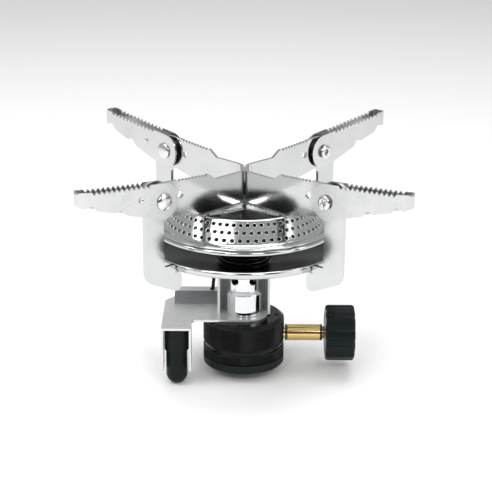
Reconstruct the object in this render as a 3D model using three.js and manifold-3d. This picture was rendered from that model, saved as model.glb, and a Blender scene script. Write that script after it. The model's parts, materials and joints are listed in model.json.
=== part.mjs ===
// Screw-on gas camping stove: a burner head on a mixing tube, carried by a valve body, with a
// cross-shaped wind shield whose four corners hold folding, toothed pot supports.
// Millimetres, +Z up. The origin is the centre of the face that seats on the gas cartridge.
import * as THREE from 'three';
import { mergeVertices } from 'three/addons/utils/BufferGeometryUtils.js';
import Module from 'manifold-3d';

const wasm = await Module();
wasm.setup();

// Driving dimensions -----------------------------------------------------------------------
const QUARTER = Math.PI / 4;

const BODY_RADIUS = 17;
const BODY_TOP = 20.6;
const SEAT_RING_TOP = 3.5;
const SOCKET_RADIUS = 5.55;
const SOCKET_TOP = 9;
const VALVE_AXIS_Z = 12.2;

const SHEET = 0.8;
const TUBE_RADIUS = 6.65;
const SLEEVE_RADIUS = 7.75;
const AIR_HOLES = 5;
const AIR_HOLE_RADIUS = 1.85;
const AIR_HOLE_Z = 37;

const DISH_RADIUS = 41.2;
const DISH_RIM_LOW = 50.8;
const DISH_RIM_TOP = 53.7;
const DISH_HUB_Z = 43.2;
const NECK_RADIUS = 10.8;
const HEAD_RADIUS = 38;
const HEAD_LOW = 58.8;
const CAP_FLANGE_Z = 61.2;
const CAP_WALL_FOOT = 33.6;
const CAP_RIM_RADIUS = 27.2;
const CAP_RIM_Z = 70.3;
const CAP_CENTRE_Z = 68.4;
const RIDGE_TOP = 71.3;
const RIDGE_HALF_WIDTH = 1.6;

const SHIELD_THICKNESS = 1.5;
const SHIELD_OFFSET = 4;
const WELD_STEP = 0.08;
const SHIELD_BEND = 4.5;
const SHIELD_BEND_STEPS = 10;
const SHIELD_LOW = 71.7;
const SHIELD_TOP = 84.2;
const SHIELD_TOOTH_BASE = 86.8;
const SHIELD_TOOTH_RISE = 1.1;
const SHIELD_TEETH = 9;
const POST_OUTER = 54;
const POST_INNER = 44.3;

const PIVOT_REACH = 46;
const PIVOT_Z = 81.6;
const ARM_HALF_WIDTH = 2.97;
const ARM_END_RADIUS = 7.2;
const ARM_TOP_SLOPE = 0.105;
const ARM_BOTTOM_SLOPE = 0.335;
const ARM_TIP = 40;
const ARM_TOOTH_PITCH = 2.36;
const ARM_TOOTH_DEPTH = 1.3;
const ARM_TEETH = 12;
const RIVET_RADIUS = 1.9;
const RIVET_HOLE = 2.2;
const RIVET_HEAD = 3.5;
const WASHER_THICKNESS = 0.8;
const DETENT_REACH = 35.4;
const DETENT_Z = 81.8;
const DETENT_RADIUS = 1.5;

const PLATE_LOW = 20.7;
const PLATE_TOP = 21.6;
const GUARD_RADIUS = 11.1;
const GUARD_TOP = 42.8;
const TAB_LEFT = -33.7;
const TAB_RIGHT = -21.5;
const IGNITER_X = -27.6;
const IGNITER_Y = -14.3;
const IGNITER_RADIUS = 5.05;
const IGNITER_BORE = 4.7;
const BUTTON_RADIUS = 4.4;
const BUTTON_BOTTOM = -4.5;
const HOUSING_LOW = 10.6;
const HOUSING_TOP = 20.4;
const FLANGE_LOW = 2.6;
const ELECTRODE_Y = 39.6;
const NOTCH_HALF_WIDTH = 1.6;
const INSULATOR_RADIUS = 1.2;
const LEAD_RADIUS = 0.75;
const ELECTRODE_RADIUS = 0.5;

const KNOB_RADIUS = 11.7;
const KNOB_START = 34.3;
const KNOB_END = 46.5;
const KNOB_FLUTES = 12;
const SPINDLE_RADIUS = 1.3;

const CORNERS = [
  { name: 'front_left', azimuth: -3 * QUARTER, side: -1 },
  { name: 'front_right', azimuth: -QUARTER, side: -1 },
  { name: 'back_left', azimuth: 3 * QUARTER, side: 1 },
  { name: 'back_right', azimuth: QUARTER, side: 1 },
];

// Materials --------------------------------------------------------------------------------
const finish = (color, roughness, metalness) => () =>
  new THREE.MeshStandardMaterial({ color, roughness, metalness });
const stainless = finish(0xd9dbdc, 0.22, 1);
const chrome = finish(0xeef0f2, 0.06, 1);
const nickel = finish(0xb9bbb8, 0.35, 1);
const brass = finish(0xc9a24a, 0.25, 1);
const anodised = finish(0x0b0d0e, 0.35, 0.6);
const blackEnamel = finish(0x101214, 0.2, 0.1);
const blackPlastic = finish(0x14191b, 0.45, 0);
const rubber = finish(0x1b1f20, 0.7, 0);
const ceramic = finish(0xece8dd, 0.3, 0);
const springSteel = finish(0xa9acae, 0.3, 1);

// Solid helpers ----------------------------------------------------------------------------
/** Shares a geometry's vertices, drops flat triangles and turns its faces outwards. */
function sealed(source) {
  const bare = source.clone();
  bare.deleteAttribute('normal');
  bare.deleteAttribute('uv');
  const merged = mergeVertices(bare, 1e-4);
  const position = merged.getAttribute('position');
  const corners = merged.getIndex().array;
  const kept = [];
  const [a, b, c] = [new THREE.Vector3(), new THREE.Vector3(), new THREE.Vector3()];
  let volume = 0;
  for (let i = 0; i < corners.length; i += 3) {
    const [p, q, r] = [corners[i], corners[i + 1], corners[i + 2]];
    if (p === q || q === r || r === p) continue;
    kept.push(p, q, r);
    a.fromBufferAttribute(position, p);
    b.fromBufferAttribute(position, q);
    c.fromBufferAttribute(position, r);
    volume += a.dot(b.cross(c));
  }
  if (volume < 0) kept.reverse();
  merged.setIndex(kept);
  return merged;
}

/** A closed geometry as a solid that can be joined and cut. */
function solid(geometry) {
  const closed = sealed(geometry);
  return new wasm.Manifold(new wasm.Mesh({
    numProp: 3,
    vertProperties: new Float32Array(closed.getAttribute('position').array),
    triVerts: new Uint32Array(closed.getIndex().array),
  }));
}

/** A solid as a geometry. */
function shell(body) {
  const mesh = body.getMesh();
  const geometry = new THREE.BufferGeometry();
  geometry.setAttribute('position', new THREE.BufferAttribute(mesh.vertProperties, 3));
  geometry.setIndex(new THREE.BufferAttribute(mesh.triVerts, 1));
  return geometry;
}

/** First geometry plus the others. */
function joined(first, ...others) {
  return shell(others.reduce((sum, next) => sum.add(solid(next)), solid(first)));
}

/** First geometry less the others. */
function cut(first, ...others) {
  return shell(others.reduce((sum, next) => sum.subtract(solid(next)), solid(first)));
}

/** What two geometries share. */
function common(first, second) {
  return shell(solid(first).intersect(solid(second)));
}

/** A profile of [radius, height] turned about Z. */
function turned(profile, segments = 32) {
  const points = profile.map(([radius, height]) => new THREE.Vector2(radius, height));
  return new THREE.LatheGeometry(points, segments).rotateX(Math.PI / 2);
}

/** A ring: a closed profile of [radius, height] turned about Z. */
function ring(profile, segments = 32) {
  return turned([...profile, profile[0]], segments);
}

/** A profile of [radius, distance] turned about X, at the valve's height. */
function turnedAboutX(profile, segments = 16) {
  return turned(profile, segments).rotateY(Math.PI / 2).translate(0, 0, VALVE_AXIS_Z);
}

/** A round bar from one height to another. */
function bar(radius, low, high, segments = 16) {
  return turned([[0, low], [radius, low], [radius, high], [0, high]], segments);
}

/** A box between two corners. */
function box([x0, y0, z0], [x1, y1, z1]) {
  return new THREE.BoxGeometry(x1 - x0, y1 - y0, z1 - z0)
    .translate((x0 + x1) / 2, (y0 + y1) / 2, (z0 + z1) / 2);
}

/** A shape drawn in X and Z, given a thickness centred on the XZ plane. */
function upright(shape, thickness, curveSegments = 6) {
  return new THREE.ExtrudeGeometry(shape, { depth: thickness, bevelEnabled: false, curveSegments })
    .translate(0, 0, -thickness / 2)
    .rotateX(Math.PI / 2);
}

/** A shape drawn in X and Y, raised from one height to another. */
function flat(shape, low, high, curveSegments = 6) {
  return new THREE.ExtrudeGeometry(shape, { depth: high - low, bevelEnabled: false, curveSegments })
    .translate(0, 0, low);
}

/** A round wire along a smooth curve through the points. */
function wire(points, radius, sides, steps) {
  const section = new THREE.Shape();
  for (let i = 0; i < sides; i += 1) {
    const angle = (2 * Math.PI * i) / sides;
    section[i ? 'lineTo' : 'moveTo'](radius * Math.cos(angle), radius * Math.sin(angle));
  }
  const path = new THREE.CatmullRomCurve3(points.map((point) => new THREE.Vector3(...point)));
  return new THREE.ExtrudeGeometry(section, { steps, extrudePath: path, bevelEnabled: false });
}

const stove = new THREE.Group();

/** Adds a named piece to a group. */
function add(name, geometry, material, group = stove) {
  const mesh = new THREE.Mesh(sealed(geometry), material());
  mesh.name = name;
  group.add(mesh);
}

// Valve body and gas way -------------------------------------------------------------------
function valveBody() {
  const body = ring([
    [13.5, SEAT_RING_TOP + 0.1], [16.9, SEAT_RING_TOP + 0.1], [BODY_RADIUS, 7.5], [16.4, 7.9],
    [16.4, 9.3], [BODY_RADIUS, 9.8], [BODY_RADIUS, 19.6], [15.2, BODY_TOP], [6.1, BODY_TOP],
    [6.1, 17], [3.5, 17], [3.5, 13.5], [1.9, 13.5], [1.9, SOCKET_TOP], [SOCKET_RADIUS, SOCKET_TOP],
    [SOCKET_RADIUS, 1.2], [8.6, 1.2], [8.6, 5.6], [13.5, 5.6],
  ]);
  const spindleBore = turnedAboutX([[0, 7], [2.8, 7], [2.8, 18], [0, 18]], 16);
  const needleWay = turnedAboutX([[0, 1], [1.6, 1], [1.6, 7.5], [0, 7.5]], 12);
  const setScrewHole = bar(0.8, BODY_TOP - 3, BODY_TOP + 1, 8).translate(13.9, -1.1, 0);
  return cut(body, spindleBore, needleWay, setScrewHole);
}

function addGasWay() {
  add('valve_body', valveBody(), anodised);
  add('cartridge_seat_ring', ring([
    [13.5, 0], [16.6, 0], [17, 0.5], [17, SEAT_RING_TOP], [13.5, SEAT_RING_TOP],
  ]), rubber);
  const sealRadius = 0.55;
  const sealCentre = 4.7;
  const sealSides = 6;
  const section = [];
  for (let i = 0; i < sealSides; i += 1) {
    const angle = (-2 * Math.PI * i) / sealSides;
    section.push([sealCentre + sealRadius * Math.cos(angle), 8.2 + sealRadius * Math.sin(angle)]);
  }
  add('cartridge_o_ring', ring(section, 20), rubber);
  add('valve_depressor_pin', turned([
    [0, 3], [0.8, 3], [1.2, 3.6], [1.2, 7.9], [3, 7.9], [3, 8.7], [0, 8.7],
  ], 16), brass);
  add('gas_filter', bar(3.2, 13.8, 15, 16), springSteel);
  add('jet_nozzle', turned([
    [0, 15.3], [3.2, 15.3], [3.2, 18], [2.2, 18.4], [2.2, 25], [1.2, 26.4], [0, 26.4],
  ], 16), brass);
}

// Mixing tube ------------------------------------------------------------------------------
function mixingTube() {
  const tube = ring([
    [5.1, 17.3], [5.8, 17.3], [5.8, PLATE_TOP + 0.1], [SLEEVE_RADIUS, PLATE_TOP + 0.1],
    [SLEEVE_RADIUS, 31], [TUBE_RADIUS, 32.4], [TUBE_RADIUS, 46], [TUBE_RADIUS - 0.9, 46],
    [TUBE_RADIUS - 0.9, 32], [5.1, 31],
  ], 24);
  const holes = [];
  for (let i = 0; i < AIR_HOLES; i += 1) {
    const azimuth = (2 * Math.PI * (i + 0.5)) / AIR_HOLES - Math.PI / 2;
    holes.push(bar(AIR_HOLE_RADIUS, 0, 12, 10).rotateY(Math.PI / 2).rotateZ(azimuth)
      .translate(0, 0, AIR_HOLE_Z));
  }
  return cut(tube, ...holes);
}

// Dish, neck and burner head ---------------------------------------------------------------
function baseDish() {
  const rimInner = DISH_RADIUS - 2.3;
  const dish = ring([
    [6.95, DISH_HUB_Z], [11.4, DISH_HUB_Z], [rimInner, DISH_RIM_LOW], [DISH_RADIUS - 0.6, DISH_RIM_LOW],
    [DISH_RADIUS, DISH_RIM_LOW + 1], [DISH_RADIUS, DISH_RIM_TOP - 0.8], [DISH_RADIUS - 0.8, DISH_RIM_TOP],
    [rimInner + 0.2, DISH_RIM_TOP], [rimInner - 0.6, DISH_RIM_LOW + SHEET + 0.2],
    [11.2, DISH_HUB_Z + SHEET], [6.95, DISH_HUB_Z + SHEET],
  ], 40);
  return cut(
    dish,
    bar(NOTCH_HALF_WIDTH, 44, 58, 12).translate(0, ELECTRODE_Y, 0),
    box([-NOTCH_HALF_WIDTH, ELECTRODE_Y, 44], [NOTCH_HALF_WIDTH, DISH_RADIUS + 2, 58]),
  );
}

function burnerNeck() {
  const crest = NECK_RADIUS;
  const valley = NECK_RADIUS - 1.3;
  const low = DISH_HUB_Z + SHEET + 0.1;
  const high = HEAD_LOW - 0.1;
  const profile = [[7.2, low], [crest, low]];
  const ringPitch = 3.7;
  for (let i = 0; i < 3; i += 1) {
    const foot = low + 1.2 + i * ringPitch;
    profile.push([crest, foot + 0.8], [valley, foot + 1.5], [valley, foot + 2.2], [crest, foot + 2.9]);
  }
  profile.push([crest, high], [7.2, high]);
  return ring(profile, 24);
}

function burnerPan() {
  return ring([
    [7.4, HEAD_LOW], [HEAD_RADIUS - 0.9, HEAD_LOW], [HEAD_RADIUS, HEAD_LOW + 0.8],
    [HEAD_RADIUS, CAP_FLANGE_Z - 0.1], [HEAD_RADIUS - SHEET, CAP_FLANGE_Z - 0.1],
    [HEAD_RADIUS - SHEET, HEAD_LOW + SHEET], [7.4, HEAD_LOW + SHEET],
  ], 40);
}

function burnerCap() {
  const cap = turned([
    [0, CAP_CENTRE_Z - SHEET], [CAP_RIM_RADIUS - 0.9, CAP_RIM_Z - 1.1], [32.9, CAP_FLANGE_Z], [HEAD_RADIUS - 0.3, CAP_FLANGE_Z],
    [HEAD_RADIUS - 0.3, CAP_FLANGE_Z + SHEET], [CAP_WALL_FOOT, CAP_FLANGE_Z + SHEET],
    [CAP_RIM_RADIUS + 0.3, CAP_RIM_Z], [CAP_RIM_RADIUS - 0.6, CAP_RIM_Z + 0.2], [0, CAP_CENTRE_Z],
  ], 40);
  const ridges = CORNERS.map(({ azimuth, side }) =>
    box([0, -RIDGE_HALF_WIDTH, CAP_CENTRE_Z - SHEET / 2], [CAP_RIM_RADIUS - 4, RIDGE_HALF_WIDTH, RIDGE_TOP])
      .rotateZ(azimuth).translate(0, side * SHIELD_OFFSET, 0));
  return joined(cap, ...ridges);
}

// Wind shield ------------------------------------------------------------------------------
const half = SHIELD_THICKNESS / 2;
const shieldMidline = half + 0.15;
const flatLength = SHIELD_OFFSET + shieldMidline - (Math.SQRT2 - 1) * SHIELD_BEND;
const bendEnd = shieldMidline + SHIELD_BEND * (1 - Math.SQRT1_2);
const wingStart = bendEnd * Math.SQRT2;

/** The rounded ridge, in plan, where the two wings of one sheet meet and weld into it. */
function hubOutline() {
  const centreX = -shieldMidline - SHIELD_BEND;
  const wall = half - WELD_STEP;
  const end = QUARTER + 0.1;
  const outline = new THREE.Shape();
  outline.absarc(centreX, flatLength, SHIELD_BEND + wall, end, 0, true);
  outline.absarc(centreX, -flatLength, SHIELD_BEND + wall, 0, -end, true);
  outline.absarc(centreX, -flatLength, SHIELD_BEND - wall, -end, 0, false);
  outline.absarc(centreX, flatLength, SHIELD_BEND - wall, 0, end, false);
  return outline;
}

/** One wing seen square on: reach from the centre line across, height up. */
function wingOutline() {
  const shape = new THREE.Shape();
  const toothStart = 21.2;
  const toothEnd = 37;
  const pitch = (toothEnd - toothStart) / SHIELD_TEETH;
  const seatSide = 38.7;
  const seatFloor = DISH_RIM_LOW - 0.4;
  shape.moveTo(wingStart, SHIELD_LOW);
  shape.lineTo(25.6, SHIELD_LOW);
  shape.lineTo(31, SHIELD_LOW + 0.6);
  shape.lineTo(40.6, SHIELD_LOW + 2.7);
  shape.quadraticCurveTo(POST_INNER, SHIELD_LOW + 3.4, POST_INNER, SHIELD_LOW - 0.6);
  shape.lineTo(POST_INNER, DISH_RIM_TOP + 1.2);
  shape.quadraticCurveTo(POST_INNER, DISH_RIM_TOP + 0.2, POST_INNER - 1, DISH_RIM_TOP + 0.2);
  shape.lineTo(seatSide, DISH_RIM_TOP + 0.2);
  shape.lineTo(seatSide, seatFloor);
  shape.lineTo(36.5, seatFloor);
  shape.quadraticCurveTo(35.3, seatFloor - 0.4, 35.3, seatFloor - 2);
  shape.lineTo(35.3, 46);
  shape.quadraticCurveTo(35.3, 41.4, 39.8, 43.2);
  shape.lineTo(50.2, 48.2);
  shape.quadraticCurveTo(POST_OUTER, 50, POST_OUTER, 54);
  shape.lineTo(POST_OUTER, 80);
  shape.quadraticCurveTo(POST_OUTER, SHIELD_TOOTH_BASE + 1.4, 44, SHIELD_TOOTH_BASE + 1.4);
  shape.lineTo(toothEnd, SHIELD_TOOTH_BASE + SHIELD_TOOTH_RISE);
  for (let i = 0; i < SHIELD_TEETH; i += 1) {
    const right = toothEnd - i * pitch;
    const rise = SHIELD_TOOTH_BASE + SHIELD_TOOTH_RISE * (1 - (i + 0.5) / SHIELD_TEETH);
    shape.lineTo(right - pitch / 2, rise - 0.8);
    shape.lineTo(right - pitch, rise);
  }
  shape.lineTo(20.3, SHIELD_TOOTH_BASE);
  shape.lineTo(16.4, SHIELD_TOP);
  shape.lineTo(wingStart, SHIELD_TOP);
  const hole = (x, z, radius) => {
    const path = new THREE.Path();
    path.absarc(x, z, radius, 0, 2 * Math.PI, true);
    return path;
  };
  shape.holes.push(hole(PIVOT_REACH, PIVOT_Z, RIVET_HOLE), hole(DETENT_REACH, DETENT_Z, DETENT_RADIUS));
  return shape;
}

/** Left sheet of the wind shield: a front and a back wing, bent at the middle. */
function shieldSheet() {
  const wings = CORNERS.filter(({ name }) => name.endsWith('left')).map(({ azimuth, side }) =>
    upright(wingOutline(), SHIELD_THICKNESS).rotateZ(azimuth).translate(0, side * SHIELD_OFFSET, 0));
  return joined(
    flat(hubOutline(), SHIELD_LOW + WELD_STEP, SHIELD_TOP - WELD_STEP, SHIELD_BEND_STEPS),
    ...wings,
  );
}

// Folding pot supports ---------------------------------------------------------------------
/** A support seen square on, with its pivot at the origin and its tip towards +X. */
function armOutline() {
  const topTilt = Math.atan(ARM_TOP_SLOPE);
  const bottomTilt = Math.atan(ARM_BOTTOM_SLOPE);
  const topAt = (x) => ARM_END_RADIUS / Math.cos(topTilt) + ARM_TOP_SLOPE * x;
  const bottomAt = (x) => -ARM_END_RADIUS / Math.cos(bottomTilt) + ARM_BOTTOM_SLOPE * x;
  const shape = new THREE.Shape();
  shape.absarc(0, 0, ARM_END_RADIUS, Math.PI / 2 + topTilt, 1.5 * Math.PI + bottomTilt, false);
  for (const start of [18.4, 32]) {
    shape.lineTo(start, bottomAt(start));
    shape.lineTo(start + 2.6, bottomAt(start + 2.6) + 1.9);
    shape.lineTo(start + 5.6, bottomAt(start + 5.6) + 0.2);
  }
  shape.lineTo(ARM_TIP - 1.2, bottomAt(ARM_TIP - 1.2));
  shape.quadraticCurveTo(ARM_TIP - 0.2, bottomAt(ARM_TIP), ARM_TIP, bottomAt(ARM_TIP) + 1.2);
  shape.lineTo(ARM_TIP, topAt(ARM_TIP) - 1.4);
  shape.quadraticCurveTo(ARM_TIP, topAt(ARM_TIP), ARM_TIP - 1.4, topAt(ARM_TIP));
  const firstTooth = 6.4;
  for (let i = ARM_TEETH - 1; i >= 0; i -= 1) {
    const left = firstTooth + i * ARM_TOOTH_PITCH;
    shape.lineTo(left + ARM_TOOTH_PITCH * 0.95, topAt(left + ARM_TOOTH_PITCH));
    shape.lineTo(left + ARM_TOOTH_PITCH / 2, topAt(left) - ARM_TOOTH_DEPTH);
  }
  shape.lineTo(firstTooth, topAt(firstTooth));
  const pivot = new THREE.Path();
  pivot.absarc(0, 0, RIVET_HOLE, 0, 2 * Math.PI, true);
  shape.holes.push(pivot);
  return shape;
}

/** The support's strip seen from above: two walls joined by a bend at the tip. */
function armPlan() {
  const inner = ARM_HALF_WIDTH - SHEET;
  const bendCentre = ARM_TIP - ARM_HALF_WIDTH;
  const shape = new THREE.Shape();
  shape.moveTo(-ARM_END_RADIUS - 1, -ARM_HALF_WIDTH);
  shape.absarc(bendCentre, 0, ARM_HALF_WIDTH, -Math.PI / 2, Math.PI / 2, false);
  shape.lineTo(-ARM_END_RADIUS - 1, ARM_HALF_WIDTH);
  shape.lineTo(-ARM_END_RADIUS - 1, inner);
  shape.absarc(bendCentre, 0, inner, Math.PI / 2, -Math.PI / 2, true);
  shape.lineTo(-ARM_END_RADIUS - 1, -inner);
  return shape;
}

function potSupport() {
  return common(upright(armOutline(), 4 * ARM_HALF_WIDTH, 8), flat(armPlan(), -12, 20, 8));
}

function pivotRivet() {
  const face = ARM_HALF_WIDTH + 0.15;
  const dome = [[RIVET_HEAD, face], [RIVET_HEAD - 0.4, face + 0.7], [1.9, face + 1.2], [0, face + 1.4]];
  const mirrored = dome.map(([radius, height]) => [radius, -height]).reverse();
  return turned([...mirrored, [RIVET_RADIUS, -face], [RIVET_RADIUS, face], ...dome], 16)
    .rotateX(Math.PI / 2);
}

function addPotSupports() {
  const washerStart = half + (ARM_HALF_WIDTH - SHEET - half - WASHER_THICKNESS) / 2;
  for (const { name, azimuth, side } of CORNERS) {
    const corner = new THREE.Group();
    corner.position.set(
      PIVOT_REACH * Math.cos(azimuth),
      PIVOT_REACH * Math.sin(azimuth) + side * SHIELD_OFFSET,
      PIVOT_Z,
    );
    corner.rotation.z = azimuth;
    stove.add(corner);
    add(`pot_support_${name}`, potSupport(), stainless, corner);
    add(`pivot_rivet_${name}`, pivotRivet(), stainless, corner);
    for (const [face, turn] of [['inner', 1], ['outer', -1]]) {
      const washer = ring([
        [RIVET_HOLE, washerStart], [4, washerStart], [4, washerStart + WASHER_THICKNESS],
        [RIVET_HOLE, washerStart + WASHER_THICKNESS],
      ], 16).rotateX((turn * Math.PI) / 2);
      add(`pivot_washer_${name}_${face}`, washer, springSteel, corner);
    }
  }
}

// Igniter ----------------------------------------------------------------------------------
/** Round end, arm and forward tab of the bracket, in plan. */
function bracketOutline() {
  const shape = new THREE.Shape();
  shape.moveTo(TAB_LEFT, -19.8);
  shape.lineTo(TAB_RIGHT, -19.8);
  shape.lineTo(TAB_RIGHT, -12.4);
  shape.quadraticCurveTo(TAB_RIGHT, -10.2, TAB_RIGHT + 2.2, -10.2);
  shape.absarc(0, 0, 10.2, -Math.PI / 2, Math.PI / 2, false);
  shape.lineTo(-10, 18.4);
  shape.lineTo(-29, 18.4);
  shape.lineTo(TAB_LEFT, 12);
  return shape;
}

/** The raised channel along the back of the bracket, across its length. */
function channelSection(rise) {
  const shape = new THREE.Shape();
  shape.moveTo(7 + rise, PLATE_LOW - rise);
  shape.lineTo(9 + rise, PLATE_TOP + 2 - rise);
  shape.lineTo(12.5 + rise, PLATE_TOP + 4.3 - rise);
  shape.lineTo(17.6 - rise, PLATE_TOP + 4.3 - rise);
  shape.lineTo(18.3 - rise, PLATE_LOW - rise);
  return shape;
}

/** The channel's section stretched along X from one place to another. */
function channel(rise, start, end) {
  return new THREE.ExtrudeGeometry(channelSection(rise), { depth: end - start, bevelEnabled: false })
    .rotateX(Math.PI / 2).rotateZ(Math.PI / 2).translate(start, 0, 0);
}

function igniterBracket() {
  const guard = new THREE.Shape();
  guard.absarc(0, 0, GUARD_RADIUS, -0.2, Math.PI + 0.2, false);
  guard.absarc(0, 0, GUARD_RADIUS - 0.9, Math.PI + 0.2, -0.2, true);
  const flange = (x) => box([x, -19.5, FLANGE_LOW], [x + SHEET, -9.4, PLATE_LOW + 0.2]);
  const plate = joined(
    flat(bracketOutline(), PLATE_LOW, PLATE_TOP),
    channel(0, -29.5, -7.9),
    flat(guard, PLATE_LOW + 0.4, GUARD_TOP, 14),
    flange(TAB_LEFT),
    flange(TAB_RIGHT - SHEET),
  );
  const tubeHole = bar(6, PLATE_LOW - 6, PLATE_TOP + 6, 20);
  const leadHole = bar(1.4, PLATE_TOP, PLATE_TOP + 8, 10).translate(-13.4, 14.5, 0);
  return cut(plate, channel(0.7, -28.8, -8.7), tubeHole, leadHole);
}

function addIgniter() {
  const placed = (geometry) => geometry.translate(IGNITER_X, IGNITER_Y, 0);
  add('igniter_bracket', igniterBracket(), nickel);
  const housing = placed(turned([
    [0, HOUSING_TOP - 0.6], [IGNITER_BORE, HOUSING_TOP - 0.6], [IGNITER_BORE, HOUSING_LOW],
    [IGNITER_RADIUS, HOUSING_LOW], [IGNITER_RADIUS, HOUSING_TOP], [0, HOUSING_TOP],
  ], 24));
  const leadWay = box([-28.8, -11, 17.6], [-26.4, -6, 21]);
  add('igniter_housing', cut(housing, leadWay), blackEnamel);
  const piezo = placed(bar(4.3, 17.4, HOUSING_TOP - 0.9, 16));
  const leadSocket = box([-28.8, -11.2, 17], [-26.4, -6, 21]);
  add('igniter_piezo', cut(piezo, leadSocket), ceramic);
  add('igniter_spring', placed(ring([[2.4, 12.7], [3.1, 12.7], [3.1, 17.1], [2.4, 17.1]], 16)), springSteel);
  const dome = [];
  const domeSteps = 5;
  for (let i = 0; i <= domeSteps; i += 1) {
    const angle = (Math.PI / 2) * (1 - i / domeSteps);
    dome.push([BUTTON_RADIUS * Math.cos(angle), BUTTON_BOTTOM + BUTTON_RADIUS * (1 - Math.sin(angle))]);
  }
  add('igniter_button', placed(turned([...dome, [BUTTON_RADIUS, 12.4], [0, 12.4]], 20)), blackPlastic);

  const lead = wire([
    [-27.6, -10.6, 19], [-27.4, -6, 18.6], [-26.4, 4, 18.8], [-25.2, 10.5, 20.4], [-22.5, 14.3, 23],
    [-18, 14.7, 23.6], [-14.6, 14.6, 24.2], [-13.3, 14.6, 26.6], [-13, 15, 30], [-11.5, 17, 36],
    [-7, 22, 40.6], [-2.6, 30, 42.2], [-0.4, 36.6, 43.2], [0, ELECTRODE_Y, 45.2],
  ], LEAD_RADIUS, 6, 34);
  add('ignition_lead', lead, rubber);
  add('electrode_insulator', turned([
    [0, 46], [INSULATOR_RADIUS, 46], [INSULATOR_RADIUS, 62], [INSULATOR_RADIUS - 0.4, 63], [0, 63],
  ], 12).translate(0, ELECTRODE_Y, 0), ceramic);
  add('spark_electrode', wire([
    [0, ELECTRODE_Y, 63.3], [0, ELECTRODE_Y, 65], [0, ELECTRODE_Y - 0.8, 66.6], [0, ELECTRODE_Y - 3, 67.4],
    [0, ELECTRODE_Y - 6, 67.2],
  ], ELECTRODE_RADIUS, 6, 10), springSteel);
}

// Valve spindle and knob -------------------------------------------------------------------
function knobBody() {
  const outline = new THREE.Shape();
  const steps = KNOB_FLUTES * 4;
  for (let i = 0; i < steps; i += 1) {
    const angle = (2 * Math.PI * i) / steps;
    const flute = Math.max(0, Math.cos(KNOB_FLUTES * angle)) ** 0.8;
    const radius = KNOB_RADIUS - 1 - 0.8 * flute;
    outline[i ? 'lineTo' : 'moveTo'](radius * Math.cos(angle), radius * Math.sin(angle));
  }
  const edge = 1;
  const knob = new THREE.ExtrudeGeometry(outline, {
    depth: KNOB_END - KNOB_START - 2 * edge, bevelSize: edge, bevelThickness: edge, bevelSegments: 1,
  }).translate(0, 0, KNOB_START + edge).rotateY(Math.PI / 2).translate(0, 0, VALVE_AXIS_Z);
  const bore = turnedAboutX([[0, 30], [1.45, 30], [1.45, 41.5], [0, 41.5]], 12);
  const screwWell = turnedAboutX([[0, 43.5], [3.6, 43.5], [3.6, 50], [0, 50]], 16);
  const screwHole = turnedAboutX([[0, 41], [1, 41], [1, 44], [0, 44]], 10);
  return cut(knob, bore, screwWell, screwHole);
}

function addValveSpindle() {
  add('spindle_housing', turnedAboutX([
    [1.5, 10], [2.5, 10], [2.6, 18.2], [3.1, 18.2], [3.4, 18.6], [3.4, 31.9], [3.1, 32.3], [2.6, 32.3],
    [2.6, 34], [1.5, 34], [1.5, 10],
  ]), brass);
  for (const [name, start] of [['spindle_o_ring_inner', 17.5], ['spindle_o_ring_outer', 32.4]]) {
    add(name, turnedAboutX([
      [2.75, start], [3.3, start], [3.5, start + 0.3], [3.3, start + 0.6], [2.75, start + 0.6], [2.75, start],
    ]), rubber);
  }
  add('valve_spindle', turnedAboutX([
    [0, 2.4], [0.4, 2.4], [SPINDLE_RADIUS, 6.4], [SPINDLE_RADIUS, 41], [0, 41],
  ], 16), springSteel);
  add('control_knob', knobBody(), blackPlastic);
  add('knob_screw', turnedAboutX([
    [0, 41.4], [0.8, 41.4], [0.8, 43.7], [2.8, 43.7], [2.8, 44.8], [2.2, 45.3], [0, 45.3],
  ], 12), springSteel);
}

// Assembly ---------------------------------------------------------------------------------
addGasWay();
add('mixing_tube', mixingTube(), chrome);
add('base_dish', baseDish(), stainless);
add('burner_neck', burnerNeck(), blackEnamel);
add('burner_pan', burnerPan(), stainless);
add('burner_cap', burnerCap(), stainless);
add('wind_shield_left', shieldSheet(), stainless);
add('wind_shield_right', shieldSheet().rotateZ(Math.PI), stainless);
addPotSupports();
addIgniter();
addValveSpindle();

export default stove;
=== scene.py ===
"""Looks of a screw-on gas camping stove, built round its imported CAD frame.

The burner head, its mixing tube, the wind shield, the folding pot supports, the igniter and the
valve are each a class: its fields are sizes in millimetres, and its methods make and dress the
pieces. Every piece is placed in the stove's own frame, +Z up, with the cartridge seat at z = 0.
"""

import json
import logging
import math
from abc import ABC, abstractmethod
from collections.abc import Iterable, Sequence
from dataclasses import dataclass, field
from enum import Enum

import bmesh
import bpy
from bmesh.types import BMesh, BMFace, BMVert
from bpy.types import Material, Node, NodeSocket, NodeTree, Object
from mathutils import Matrix, Vector

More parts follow.
